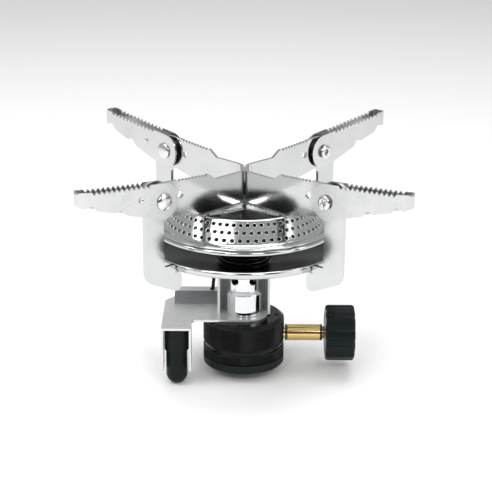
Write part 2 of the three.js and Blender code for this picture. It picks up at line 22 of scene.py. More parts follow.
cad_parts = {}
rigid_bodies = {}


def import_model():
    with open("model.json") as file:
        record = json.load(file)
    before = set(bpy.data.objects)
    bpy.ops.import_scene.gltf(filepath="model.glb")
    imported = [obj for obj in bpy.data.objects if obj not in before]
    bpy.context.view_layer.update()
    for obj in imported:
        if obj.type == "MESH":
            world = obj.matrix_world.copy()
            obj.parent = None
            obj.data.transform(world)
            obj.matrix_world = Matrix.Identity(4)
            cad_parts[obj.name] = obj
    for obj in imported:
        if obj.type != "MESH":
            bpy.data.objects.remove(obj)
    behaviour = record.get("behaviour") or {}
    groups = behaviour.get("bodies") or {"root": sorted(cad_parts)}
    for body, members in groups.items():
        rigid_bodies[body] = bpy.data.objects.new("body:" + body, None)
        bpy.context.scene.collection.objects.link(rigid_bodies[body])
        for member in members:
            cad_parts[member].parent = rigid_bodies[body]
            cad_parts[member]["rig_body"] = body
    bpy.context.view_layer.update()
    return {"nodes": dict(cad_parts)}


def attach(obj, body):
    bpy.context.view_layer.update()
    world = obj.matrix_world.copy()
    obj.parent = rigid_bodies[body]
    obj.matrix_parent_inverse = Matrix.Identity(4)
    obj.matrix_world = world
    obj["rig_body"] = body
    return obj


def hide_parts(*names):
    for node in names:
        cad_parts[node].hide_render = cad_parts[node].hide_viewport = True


LOG = logging.getLogger("camping_stove")

MM = 0.001
FULL_TURN = 2.0 * math.pi
QUARTER_TURN = math.pi / 2.0
MERGE_DISTANCE = 1e-4
CAD_MERGE_DISTANCE = 0.002
FLAT_ANGLE = math.radians(1.0)
SMOOTH_ANGLE = math.radians(32.0)
GRAIN_STRETCH = 40.0
MIDDLE_OF_NOISE = (0.35, 0.65)
RELIEF_STRENGTH = 0.5
AIM_HEIGHT = 50.0
BURNER_BODY = "burner"

Pair = tuple[float, float]
Triple = tuple[float, float, float]


def set_inputs(node: Node, values: dict[str, float | tuple[float, ...]]) -> None:
    """Sets a node's inputs by their names."""
    for name, value in values.items():
        node.inputs[name].default_value = value


# Finishes -----
class Grain(Enum):
    """Which way a finish's fine marks run."""

    EVEN = "even"
    ROUND_Z = "round the stove's axis"
    ROUND_X = "round the valve's axis"
    LEVEL = "level, across the sheet"
    UPRIGHT = "up the sheet"


class Slot(Enum):
    """Material slots of the stove's record."""

    STAINLESS = "stainless"
    CHROME = "chrome"
    NICKEL = "nickel"
    BRASS = "brass"
    ANODISED = "black_anodised"
    ENAMEL = "black_enamel"
    GLOSS = "black_gloss"
    PLASTIC = "black_plastic"
    RUBBER = "rubber"
    CERAMIC = "ceramic"
    SPRING = "spring_steel"


@dataclass(frozen=True)
class Finish:
    """A procedural surface finish, with its sizes in millimetres."""

    name: str
    slot: Slot
    colour: Triple
    shade: Triple
    metallic: float
    smooth: float
    rough: float
    grain: Grain = Grain.EVEN
    pitch: float = 0.12
    depth: float = 0.004
    blotch: float = 14.0
    specular: float = 0.5

    def make(self) -> Material:
        """Makes the finish's material, or gives the one that is there already."""
        known = bpy.data.materials.get(self.name)
        if known is not None:
            return known
        material = bpy.data.materials.new(self.name)
        material.use_nodes = True
        tree = material.node_tree
        shader = tree.nodes["Principled BSDF"]
        set_inputs(shader, {"Metallic": self.metallic, "Specular IOR Level": self.specular})
        place = tree.nodes.new("ShaderNodeTexCoord").outputs["Object"]
        marks = self._noise(tree, self._grain_vector(tree, place), 1.0, 3.0)
        patches = self._noise(tree, place, 1.0 / (self.blotch * MM), 2.0)
        tint = tree.nodes.new("ShaderNodeMix")
        tint.data_type = "RGBA"
        tint.inputs[6].default_value = (*self.colour, 1.0)
        tint.inputs[7].default_value = (*self.shade, 1.0)
        both = self._blend(tree, marks, patches)
        tree.links.new(self._ranged(tree, both, 0.0, 1.0), tint.inputs[0])
        tree.links.new(tint.outputs[2], shader.inputs["Base Color"])
        tree.links.new(self._ranged(tree, both, self.smooth, self.rough), shader.inputs["Roughness"])
        relief = tree.nodes.new("ShaderNodeBump")
        set_inputs(relief, {"Strength": RELIEF_STRENGTH, "Distance": self.depth * MM})
        tree.links.new(marks, relief.inputs["Height"])
        tree.links.new(relief.outputs["Normal"], shader.inputs["Normal"])
        return material

    def _grain_vector(self, tree: NodeTree, place: NodeSocket) -> NodeSocket:
        """Coordinates in grain pitches, drawn out along the marks.

        Args:
            tree: The material's nodes.
            place: Object coordinates, in metres.

        Returns:
            The socket that holds the stretched coordinates.
        """
        fine = 1.0 / (self.pitch * MM)
        long = fine / GRAIN_STRETCH
        if self.grain in (Grain.ROUND_Z, Grain.ROUND_X):
            keeps_z = self.grain is Grain.ROUND_Z
            axis = (0.0, 0.0, 0.0 if keeps_z else Valve.axis_z * MM)
            flat = (1.0, 1.0, 0.0) if keeps_z else (0.0, 1.0, 1.0)
            across = place
            for operation, value in (("SUBTRACT", axis), ("MULTIPLY", flat), ("LENGTH", axis)):
                reach = tree.nodes.new("ShaderNodeVectorMath")
                reach.operation = operation
                reach.inputs[1].default_value = value
                tree.links.new(across, reach.inputs[0])
                across = reach.outputs[0]
            parts = tree.nodes.new("ShaderNodeSeparateXYZ")
            tree.links.new(place, parts.inputs[0])
            packed = tree.nodes.new("ShaderNodeCombineXYZ")
            tree.links.new(reach.outputs["Value"], packed.inputs[0])
            tree.links.new(parts.outputs["Z" if keeps_z else "X"], packed.inputs[1])
            source, scale = packed.outputs[0], (fine, fine, fine)
        else:
            source = place
            scale = {
                Grain.EVEN: (fine, fine, fine),
                Grain.LEVEL: (long, long, fine),
                Grain.UPRIGHT: (fine, fine, long),
            }[self.grain]
        stretch = tree.nodes.new("ShaderNodeMapping")
        stretch.inputs["Scale"].default_value = scale
        tree.links.new(source, stretch.inputs["Vector"])
        return stretch.outputs["Vector"]

    @staticmethod
    def _noise(tree: NodeTree, vector: NodeSocket, scale: float, detail: float) -> NodeSocket:
        """Adds a noise on a vector and gives its value."""
        noise = tree.nodes.new("ShaderNodeTexNoise")
        set_inputs(noise, {"Scale": scale, "Detail": detail})
        tree.links.new(vector, noise.inputs["Vector"])
        return noise.outputs["Fac"]

    @staticmethod
    def _blend(tree: NodeTree, first: NodeSocket, second: NodeSocket) -> NodeSocket:
        """Gives the mean of two values."""
        total = tree.nodes.new("ShaderNodeMath")
        total.operation = "ADD"
        tree.links.new(first, total.inputs[0])
        tree.links.new(second, total.inputs[1])
        mean = tree.nodes.new("ShaderNodeMath")
        mean.operation = "MULTIPLY"
        mean.inputs[1].default_value = 0.5
        tree.links.new(total.outputs[0], mean.inputs[0])
        return mean.outputs[0]

    @staticmethod
    def _ranged(tree: NodeTree, value: NodeSocket, low: float, high: float) -> NodeSocket:
        """Spreads a noise's middle values from low to high."""
        spread = tree.nodes.new("ShaderNodeMapRange")
        start, end = MIDDLE_OF_NOISE
        set_inputs(spread, {"From Min": start, "From Max": end, "To Min": low, "To Max": high})
        tree.links.new(value, spread.inputs["Value"])
        return spread.outputs["Result"]


SHEET_STEEL = Finish(
    "sheet_steel", Slot.STAINLESS, (0.67, 0.675, 0.672), (0.6, 0.605, 0.606), 1.0, 0.2, 0.3,
    Grain.LEVEL, 0.1, 0.002)
SHIELD_STEEL = Finish(
    "shield_steel", Slot.STAINLESS, (0.63, 0.635, 0.635), (0.57, 0.575, 0.578), 1.0, 0.1, 0.17,
    Grain.LEVEL, 0.1, 0.0015)
TURNED_STEEL = Finish(
    "turned_steel", Slot.STAINLESS, (0.62, 0.63, 0.635), (0.54, 0.55, 0.555), 1.0, 0.09, 0.16,
    Grain.ROUND_Z, 0.14, 0.0015)
RIVET_STEEL = Finish(
    "rivet_steel", Slot.STAINLESS, (0.8, 0.8, 0.8), (0.66, 0.67, 0.67), 1.0, 0.12, 0.24)
POLISHED_CHROME = Finish(
    "polished_chrome", Slot.CHROME, (0.74, 0.745, 0.755), (0.68, 0.69, 0.7), 1.0, 0.02, 0.05,
    Grain.ROUND_Z, 0.2, 0.0004)
SATIN_NICKEL = Finish(
    "satin_nickel", Slot.NICKEL, (0.76, 0.77, 0.765), (0.7, 0.71, 0.705), 0.55, 0.24, 0.34,
    pitch=0.2)
# Painted shade: a darker copy of the satin nickel for the bracket rib's front slopes, which are dark only
# from what they reflect.
PAINTED_SHADE_NICKEL = Finish(
    "shaded_nickel", Slot.NICKEL, (0.22, 0.235, 0.235), (0.17, 0.185, 0.185), 0.45, 0.26, 0.36,
    pitch=0.2)
# Painted light: a near-white, less metallic copy of the nickel for the guard round the tube, lifting the
# shade it sits in under the dish.
PAINTED_LIGHT_NICKEL = Finish(
    "guard_nickel", Slot.NICKEL, (0.9, 0.91, 0.91), (0.82, 0.83, 0.83), 0.1, 0.3, 0.4,
    Grain.UPRIGHT, 0.2, 0.004)
TURNED_BRASS = Finish(
    "turned_brass", Slot.BRASS, (0.8, 0.6, 0.27), (0.68, 0.48, 0.18), 1.0, 0.14, 0.24,
    Grain.ROUND_X, 0.16, 0.002)
BLACK_ANODISED = Finish(
    "black_anodised_aluminium", Slot.ANODISED, (0.003, 0.0034, 0.0036), (0.006, 0.0066, 0.007), 0.0,
    0.12, 0.2, Grain.ROUND_Z, 0.15, 0.002, specular=0.2)
NECK_ENAMEL = Finish(
    "black_neck_enamel", Slot.ENAMEL, (0.006, 0.0065, 0.007), (0.012, 0.012, 0.013), 0.0, 0.08, 0.16,
    pitch=0.6)
CASE_GLOSS = Finish(
    "black_case_gloss", Slot.GLOSS, (0.006, 0.007, 0.0075), (0.011, 0.012, 0.013), 0.0, 0.1, 0.2,
    Grain.EVEN, 0.5, 0.003, specular=0.12)
MOULDED_PLASTIC = Finish(
    "moulded_black_plastic", Slot.PLASTIC, (0.006, 0.009, 0.0096), (0.011, 0.0145, 0.0152), 0.0,
    0.24, 0.34, Grain.EVEN, 0.35, 0.012, specular=0.12)
SEAT_RUBBER = Finish(
    "seat_rubber", Slot.RUBBER, (0.008, 0.011, 0.0115), (0.014, 0.018, 0.0185), 0.0, 0.5, 0.66,
    Grain.EVEN, 0.4, 0.02, specular=0.14)
# Painted shade: a near-black finish for the dish's upper faces under the pan, which the steel dish shows
# only as dark reflection and shade.
PAINTED_SHADE_DISH = Finish(
    "dark_dish_lining", Slot.ENAMEL, (0.012, 0.015, 0.019), (0.02, 0.024, 0.029), 0.0, 0.16, 0.26,
    Grain.ROUND_Z, 0.3, 0.003, specular=0.16)
# Painted shade and reflection: near-black steel for the cap's sunken floors and the slot at the hub, where
# the real steel is dark only from what it reflects and the shade it sits in.
PAINTED_SHADE_STEEL = Finish(
    "heat_darkened_steel", Slot.STAINLESS, (0.02, 0.023, 0.026), (0.04, 0.044, 0.048), 1.0, 0.12, 0.2,
    Grain.ROUND_Z, 0.2, 0.002)
WHITE_CERAMIC = Finish(
    "white_ceramic", Slot.CERAMIC, (0.84, 0.81, 0.74), (0.74, 0.7, 0.62), 0.0, 0.2, 0.34,
    Grain.EVEN, 0.5, 0.01)
SPRING_STEEL = Finish(
    "bright_spring_steel", Slot.SPRING, (0.62, 0.63, 0.64), (0.48, 0.49, 0.5), 1.0, 0.2, 0.34,
    pitch=0.2)


# Mesh tools -----
ProfileCorner = Triple
"""A corner of a profile: its distance from the axis, its height, and its rounding."""


def outline_wire(corners: Sequence[ProfileCorner], closed: bool, steps: int = 4) -> BMesh:
    """Draws a chain of edges in the XZ plane and rounds its corners.

    Args:
        corners: The chain's corners in order.
        closed: Whether the last corner is joined to the first.
        steps: How many edges make each rounded corner.

    Returns:
        A mesh that holds only the chain.
    """
    mesh = bmesh.new()
    points = [mesh.verts.new((across, 0.0, up)) for across, up, _ in corners]
    for first, second in zip(points, points[1:]):
        mesh.edges.new((first, second))
    if closed:
        mesh.edges.new((points[-1], points[0]))
    for point, (_, _, rounding) in zip(points, corners):
        if rounding > 0.0:
            bmesh.ops.bevel(
                mesh, geom=[point], offset=rounding, offset_type="OFFSET", segments=steps,
                profile=0.5, affect="VERTICES", material=-1)
    return mesh


def settle(mesh: BMesh) -> None:
    """Merges a mesh's doubled vertices and turns its faces outwards."""
    bmesh.ops.remove_doubles(mesh, verts=mesh.verts[:], dist=MERGE_DISTANCE)
    bmesh.ops.recalc_face_normals(mesh, faces=mesh.faces[:])


def turned(
    corners: Sequence[ProfileCorner], steps: int = 96, closed: bool = True, rounding_steps: int = 4
) -> BMesh:
    """Turns a rounded profile about Z.

    Args:
        corners: The profile's corners.
        steps: How many faces go round.
        closed: Whether the profile is a closed ring, or runs from the axis to the axis.
        rounding_steps: How many edges make each rounded corner.

    Returns:
        The closed turned mesh.
    """
    mesh = outline_wire(corners, closed, rounding_steps)
    spin_round(mesh, steps)
    return mesh


def spin_round(mesh: BMesh, steps: int) -> None:
    """Spins a mesh's wire once about Z."""
    bmesh.ops.spin(
        mesh, geom=mesh.verts[:] + mesh.edges[:], cent=(0.0, 0.0, 0.0), axis=(0.0, 0.0, 1.0),
        dvec=(0.0, 0.0, 0.0), angle=FULL_TURN, steps=steps, use_merge=True, use_duplicate=False)
    settle(mesh)


def moved(mesh: BMesh, matrix: Matrix) -> BMesh:
    """Moves a whole mesh by a matrix and gives it back."""
    bmesh.ops.transform(mesh, matrix=matrix, verts=mesh.verts[:])
    return mesh


def reach_of(point: Vector) -> float:
    """A point's distance from the Z axis."""
    return math.hypot(point.x, point.y)


def azimuth_of(point: Vector) -> float:
    """A point's angle round the Z axis."""
    return math.atan2(point.y, point.x)


def draw_in(vert: BMVert, factor: float) -> None:
    """Scales a vertex's distance from the Z axis."""
    vert.co.x *= factor
    vert.co.y *= factor


def about_valve_axis(mesh: BMesh) -> BMesh:
    """Lays a mesh turned about Z along the valve's axis, which points to +X."""
    turn = Matrix.Rotation(QUARTER_TURN, 4, "Y")
    return moved(mesh, Matrix.Translation((0.0, 0.0, Valve.axis_z)) @ turn)


def rod(radius: float, low: float, high: float, steps: int = 24) -> BMesh:
    """A round rod along Z, which cuts round holes."""
    mesh = bmesh.new()
    bmesh.ops.create_cone(
        mesh, cap_ends=True, segments=steps, radius1=radius, radius2=radius, depth=high - low,
        matrix=Matrix.Translation((0.0, 0.0, (low + high) / 2.0)))
    return mesh


def block(size: Triple, centre: Triple) -> BMesh:
    """A rectangular block of a size, round its centre."""
    mesh = bmesh.new()
    bmesh.ops.create_cube(
        mesh, size=1.0, matrix=Matrix.Translation(centre) @ Matrix.Diagonal((*size, 1.0)))
    return mesh


def held_object(mesh: BMesh, name: str) -> Object:
    """Puts a mesh in an object in the scene."""
    data = bpy.data.meshes.new(name)
    mesh.to_mesh(data)
    mesh.free()
    piece = bpy.data.objects.new(name, data)
    bpy.context.scene.collection.objects.link(piece)
    return piece


def cut(solid: BMesh, cutter: BMesh) -> BMesh:
    """Cuts one solid from another.

    Args:
        solid: The solid that is kept.
        cutter: The solid that is cut from it.

    Returns:
        The new solid.
    """
    kept = held_object(solid, "cut_solid")
    tool = held_object(cutter, "cutting_tool")
    change = kept.modifiers.new("cut", "BOOLEAN")
    change.object = tool
    change.operation = "DIFFERENCE"
    change.solver = "EXACT"
    depsgraph = bpy.context.evaluated_depsgraph_get()
    data = bpy.data.meshes.new_from_object(kept.evaluated_get(depsgraph))
    result = bmesh.new()
    result.from_mesh(data)
    for done in (kept, tool):
        spare = done.data
        bpy.data.objects.remove(done)
        bpy.data.meshes.remove(spare)
    bpy.data.meshes.remove(data)
    bmesh.ops.remove_doubles(result, verts=result.verts[:], dist=MERGE_DISTANCE)
    return result


def node_copy(node: Object) -> BMesh:
    """Copies a CAD node's mesh in millimetres, with its triangles merged into flat faces.

    Args:
        node: The CAD node's object.

    Returns:
        The merged copy.
    """
    mesh = bmesh.new()
    mesh.from_mesh(node.data)
    moved(mesh, Matrix.Scale(1.0 / MM, 4))
    bmesh.ops.remove_doubles(mesh, verts=mesh.verts[:], dist=CAD_MERGE_DISTANCE)
    bmesh.ops.dissolve_limit(
        mesh, angle_limit=FLAT_ANGLE, verts=mesh.verts[:], edges=mesh.edges[:])
    return mesh


# Pieces -----
@dataclass
class Workshop:
    """Places finished pieces in the frame and keeps count of them."""

    nodes: dict[str, Object]
    made: list[str] = field(default_factory=list)

    def place(
        self,
        mesh: BMesh,
        name: str,
        finish: Finish,
        *replaced: str,
        body: str = BURNER_BODY,
        edge: float = 0.0,
        others: Sequence[Finish] = (),
        steady: bool = True,
    ) -> Object:
        """Makes a millimetre mesh a finished piece.

        Args:
            mesh: The piece's mesh.
            name: The piece's name.
            finish: Its finish.
            replaced: The CAD nodes that it stands for.
            body: The CAD body that it moves with.
            edge: How far its sharp edges are rounded, in millimetres.
            others: The finishes of the faces whose material number is 1 or more.
            steady: Whether large faces hold the shading of their corners.

        Returns:
            The piece's object.
        """
        moved(mesh, Matrix.Scale(MM, 4))
        for face in mesh.faces:
            face.smooth = True
        piece = held_object(mesh, name)
        if edge > 0.0:
            rounding = piece.modifiers.new("rounded_edges", "BEVEL")
            rounding.width = edge * MM
            rounding.segments = 2
            rounding.limit_method = "ANGLE"
            rounding.angle_limit = SMOOTH_ANGLE
        else:
            piece.data.set_sharp_from_angle(angle=SMOOTH_ANGLE)
        if steady:
            normals = piece.modifiers.new("steady_normals", "WEIGHTED_NORMAL")
            normals.keep_sharp = True
            normals.weight = 100
        piece.data.materials.append(finish.make())
        for other in others:
            piece.data.materials.append(other.make())
        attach(piece, body)
        if replaced:
            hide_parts(*replaced)
        self.made.append(name)
        LOG.info("made %s on %s", name, body)
        return piece

    def dress(self, finish: Finish, *names: str) -> None:
        """Gives CAD nodes that are kept a finish."""
        for name in names:
            node = self.nodes[name]
            node.data.materials.clear()
            node.data.materials.append(finish.make())
            LOG.info("dressed %s", name)


@dataclass
class Assembly(ABC):
    """A sub-assembly of the stove, whose pieces go to a workshop."""

    shop: Workshop

    @abstractmethod
    def build(self) -> None:
        """Makes and dresses the pieces."""


@dataclass
class Valve(Assembly):
    """Knurled valve body with its seat ring, brass spindle housing and control knob."""

    axis_z = 12.2
    radius: float = 17.0
    top: float = 20.6
    shoulder_radius: float = 15.3
    underside: float = 3.6
    groove: Triple = (16.3, 8.0, 9.3)
    seat_bore: float = 13.5
    seat_height: float = 3.5
    socket_radius: float = 5.55
    socket_top: float = 9.0
    socket_lip: Triple = (8.6, 1.2, 5.6)
    gas_way_radius: float = 1.9
    jet_seat: Pair = (3.5, 13.5)
    tube_seat: Pair = (6.1, 17.0)
    spindle_bore: Triple = (2.8, 7.0, 18.0)
    set_screw_radius: float = 0.85
    set_screw_place: Pair = (13.7, -1.1)
    housing_bore: float = 1.5
    housing_neck: float = 2.6
    barrel_radius: float = 3.4
    barrel: Pair = (18.2, 32.3)
    ring_starts: Pair = (17.5, 32.4)
    ring_width: float = 0.6
    knurl_columns: int = 240
    knurl_depth: float = 0.22
    lower_knurl: tuple[float, float, int] = (4.0, 7.5, 6)
    upper_knurl: tuple[float, float, int] = (9.9, 19.2, 18)
    knob_radius: float = 11.7
    knob_start: float = 34.3
    knob_end: float = 46.5
    knob_bore: float = 1.45
    screw_well_floor: float = 43.5
    flutes: int = 12
    flute_depth: float = 0.95
    flute_start: float = 9.6
    screw_shank: Pair = (0.8, 41.4)
    screw_head: Triple = (2.8, 43.7, 45.0)
    screw_slot: Triple = (0.7, 8.0, 1.2)

    def build(self) -> None:
        """Makes the valve's pieces."""
        self.shop.place(self.body(), "knurled_valve_body", BLACK_ANODISED, "valve_body")
        seat = turned([
            (self.seat_bore, 0.0, 0.1), (self.radius, 0.0, 0.7), (self.radius, self.seat_height, 0.25),
            (self.seat_bore, self.seat_height, 0.1),
        ], 128)
        self.shop.place(seat, "seat_ring", SEAT_RUBBER, "cartridge_seat_ring")
        self.shop.place(self.housing(), "brass_spindle_housing", TURNED_BRASS, "spindle_housing")
        inner, outer = self.housing_neck + 0.15, self.barrel_radius + 0.1
        for side, start in zip(("inner", "outer"), self.ring_starts):
            end = start + self.ring_width
            ring = turned([
                (inner, start, 0.05), (outer, start, 0.25), (outer, end, 0.25), (inner, end, 0.05),
            ], 48)
            name = f"spindle_o_ring_{side}"
            self.shop.place(about_valve_axis(ring), f"{name}_seal", SEAT_RUBBER, name)
        self.shop.place(self.knob(), "fluted_knob", MOULDED_PLASTIC, "control_knob", body="knob")
        self.shop.place(self.screw(), "knob_slotted_screw", SPRING_STEEL, "knob_screw", body="knob")
        self.shop.dress(SPRING_STEEL, "valve_spindle", "gas_filter")
        self.shop.dress(SEAT_RUBBER, "cartridge_o_ring")
        self.shop.dress(TURNED_BRASS, "valve_depressor_pin", "jet_nozzle")

    def body(self) -> BMesh:
        """Turns the body, raises its knurl and cuts its holes."""
        rows = [(self.radius, self.upper_knurl[0], 0.0)]
        for low, high, count in (self.lower_knurl, self.upper_knurl):
            rows += [(self.radius, low + (high - low) * i / count, 0.0) for i in range(count + 1)]
        lower = rows[1:self.lower_knurl[2] + 2]
        upper = rows[self.lower_knurl[2] + 2:]
        land = self.radius - 0.15
        groove_radius, groove_low, groove_high = self.groove
        lip_radius, lip_low, lip_high = self.socket_lip
        outside = [
            (self.seat_bore, self.underside, 0.0), (self.radius - 0.4, self.underside, 0.1),
            (self.radius - 0.25, self.underside + 0.3, 0.0), *lower, (land, groove_low - 0.2, 0.1),
            (groove_radius, groove_low, 0.2), (groove_radius, groove_high, 0.2),
            (land, groove_high + 0.3, 0.1), *upper, (land, self.top - 1.1, 0.15),
            (self.shoulder_radius, self.top, 0.25),
        ]
        tube_radius, tube_floor = self.tube_seat
        jet_radius, jet_floor = self.jet_seat
        inside = [
            (tube_radius, self.top, 0.1), (tube_radius, tube_floor, 0.0), (jet_radius, tube_floor, 0.0),
            (jet_radius, jet_floor, 0.0), (self.gas_way_radius, jet_floor, 0.0),
            (self.gas_way_radius, self.socket_top, 0.0), (self.socket_radius, self.socket_top, 0.0),
            (self.socket_radius, lip_low, 0.1), (lip_radius, lip_low, 0.1), (lip_radius, lip_high, 0.0),
            (self.seat_bore, lip_high, 0.0),
        ]
        mesh = turned(outside + inside, self.knurl_columns, rounding_steps=3)
        self._knurl(mesh)
        set_screw_hole = rod(self.set_screw_radius, self.top - 2.5, self.top + 1.0, 20)
        moved(set_screw_hole, Matrix.Translation((*self.set_screw_place, 0.0)))
        mesh = cut(mesh, about_valve_axis(rod(*self.spindle_bore, 32)))
        return cut(mesh, set_screw_hole)

    def _knurl(self, mesh: BMesh) -> None:
        """Raises a diamond knurl on the body's two bands.

        Args:
            mesh: The body, with a square grid of faces on each band.
        """
        column_angle = FULL_TURN / self.knurl_columns
        for low, high, count in (self.lower_knurl, self.upper_knurl):
            pitch = (high - low) / count
            sunk: set[BMVert] = set()
            inside: set[BMVert] = set()
            for vert in mesh.verts:
                if abs(reach_of(vert.co) - self.radius) > 0.05:
                    continue
                row = (vert.co.z - low) / pitch
                if not -0.1 < row < count + 0.1:
                    continue
                inside.add(vert)
                column = round(azimuth_of(vert.co) / column_angle)
                if (round(row) + column) % 2:
                    sunk.add(vert)
            for vert in sunk:
                draw_in(vert, 1.0 - self.knurl_depth / self.radius)
            band = [f for f in mesh.faces if len(f.verts) == 4 and inside.issuperset(f.verts)]
            for face in band:
                low_pair = [v for v in face.verts if v in sunk]
                if len(low_pair) == 2:
                    bmesh.utils.face_split(face, low_pair[0], low_pair[1])

    def housing(self) -> BMesh:
        """The brass housing: a polished barrel between two narrower necks."""
        bore, neck, barrel = self.housing_bore, self.housing_neck, self.barrel_radius
        inner, outer = self.barrel
        start, end = 10.0, self.knob_start - 0.3
        return about_valve_axis(turned([
            (bore, start, 0.0), (neck - 0.1, start, 0.1), (neck, inner, 0.0), (barrel, inner, 0.3),
            (barrel, outer, 0.3), (neck, outer, 0.0), (neck, end, 0.15), (bore, end, 0.0),
        ], 64))

    def knob(self) -> BMesh:
        """The moulded knob, with rounded flutes and a screw well."""
        bore, rim, start, end = self.knob_bore, self.knob_radius, self.knob_start, self.knob_end
        mesh = turned([
            (bore, start, 0.0), (7.2, start, 0.2), (7.6, start + 0.5, 0.2), (8.4, start + 0.5, 0.2),
            (8.8, start, 0.2), (rim, start, 1.2), (rim, end, 1.2), (7.4, end, 0.3), (6.9, end - 0.5, 0.3),
            (4.4, end - 0.5, 0.3), (3.9, self.screw_well_floor, 0.3), (bore, self.screw_well_floor, 0.0),
        ], self.flutes * 20, rounding_steps=5)
        full_depth = rim - 1.0
        for vert in mesh.verts:
            reach = reach_of(vert.co)
            share = (reach - self.flute_start) / (full_depth - self.flute_start)
            share = max(0.0, min(1.0, share))
            dip = max(0.0, math.cos(self.flutes * azimuth_of(vert.co))) ** 0.7
            draw_in(vert, 1.0 - share * dip * self.flute_depth / reach)
        return about_valve_axis(mesh)

    def screw(self) -> BMesh:
        """The pan-headed screw that holds the knob, with its slot."""
        shank, tip = self.screw_shank
        radius, seat, edge = self.screw_head
        head = turned([
            (0.0, tip, 0.0), (shank, tip, 0.1), (shank, seat, 0.0), (radius, seat, 0.1),
            (radius, edge, 0.6), (0.0, edge + 0.3, 0.0),
        ], 48, closed=False)
        slot = block(self.screw_slot, (0.0, 0.0, edge + 0.2))
        return about_valve_axis(cut(head, slot))


@dataclass
class MixingTube(Assembly):
    """Polished mixing tube with its sleeve and five air holes."""

    radius: float = 6.65
    wall: float = 0.9
    top: float = 46.0
    sleeve_radius: float = 7.75
    sleeve: Pair = (21.7, 31.0)
    spigot: Pair = (5.8, 17.3)
    foot_bore: float = 5.1
    hole_radius: float = 1.85
    hole_z: float = 37.0
    holes: int = 5

    def build(self) -> None:
        """Makes the tube."""
        foot, shoulder = self.sleeve
        spigot_radius, spigot_low = self.spigot
        bore = self.radius - self.wall
        mesh = turned([
            (self.foot_bore, spigot_low, 0.0), (spigot_radius, spigot_low, 0.1), (spigot_radius, foot, 0.0),
            (self.sleeve_radius, foot, 0.25), (self.sleeve_radius, shoulder, 0.2),
            (self.radius, shoulder + 1.4, 0.2), (self.radius, self.top, 0.2), (bore, self.top, 0.1),
            (bore, shoulder + 1.0, 0.0), (self.foot_bore, shoulder, 0.0),
        ], 128)
        for number in range(self.holes):
            azimuth = FULL_TURN * (number + 0.5) / self.holes - QUARTER_TURN
            place = (
                Matrix.Translation((0.0, 0.0, self.hole_z))
                @ Matrix.Rotation(azimuth, 4, "Z")
                @ Matrix.Rotation(QUARTER_TURN, 4, "Y")
            )
            mesh = cut(mesh, moved(rod(self.hole_radius, 2.0, 12.0, 32), place))
        self.shop.place(mesh, "polished_mixing_tube", POLISHED_CHROME, "mixing_tube")


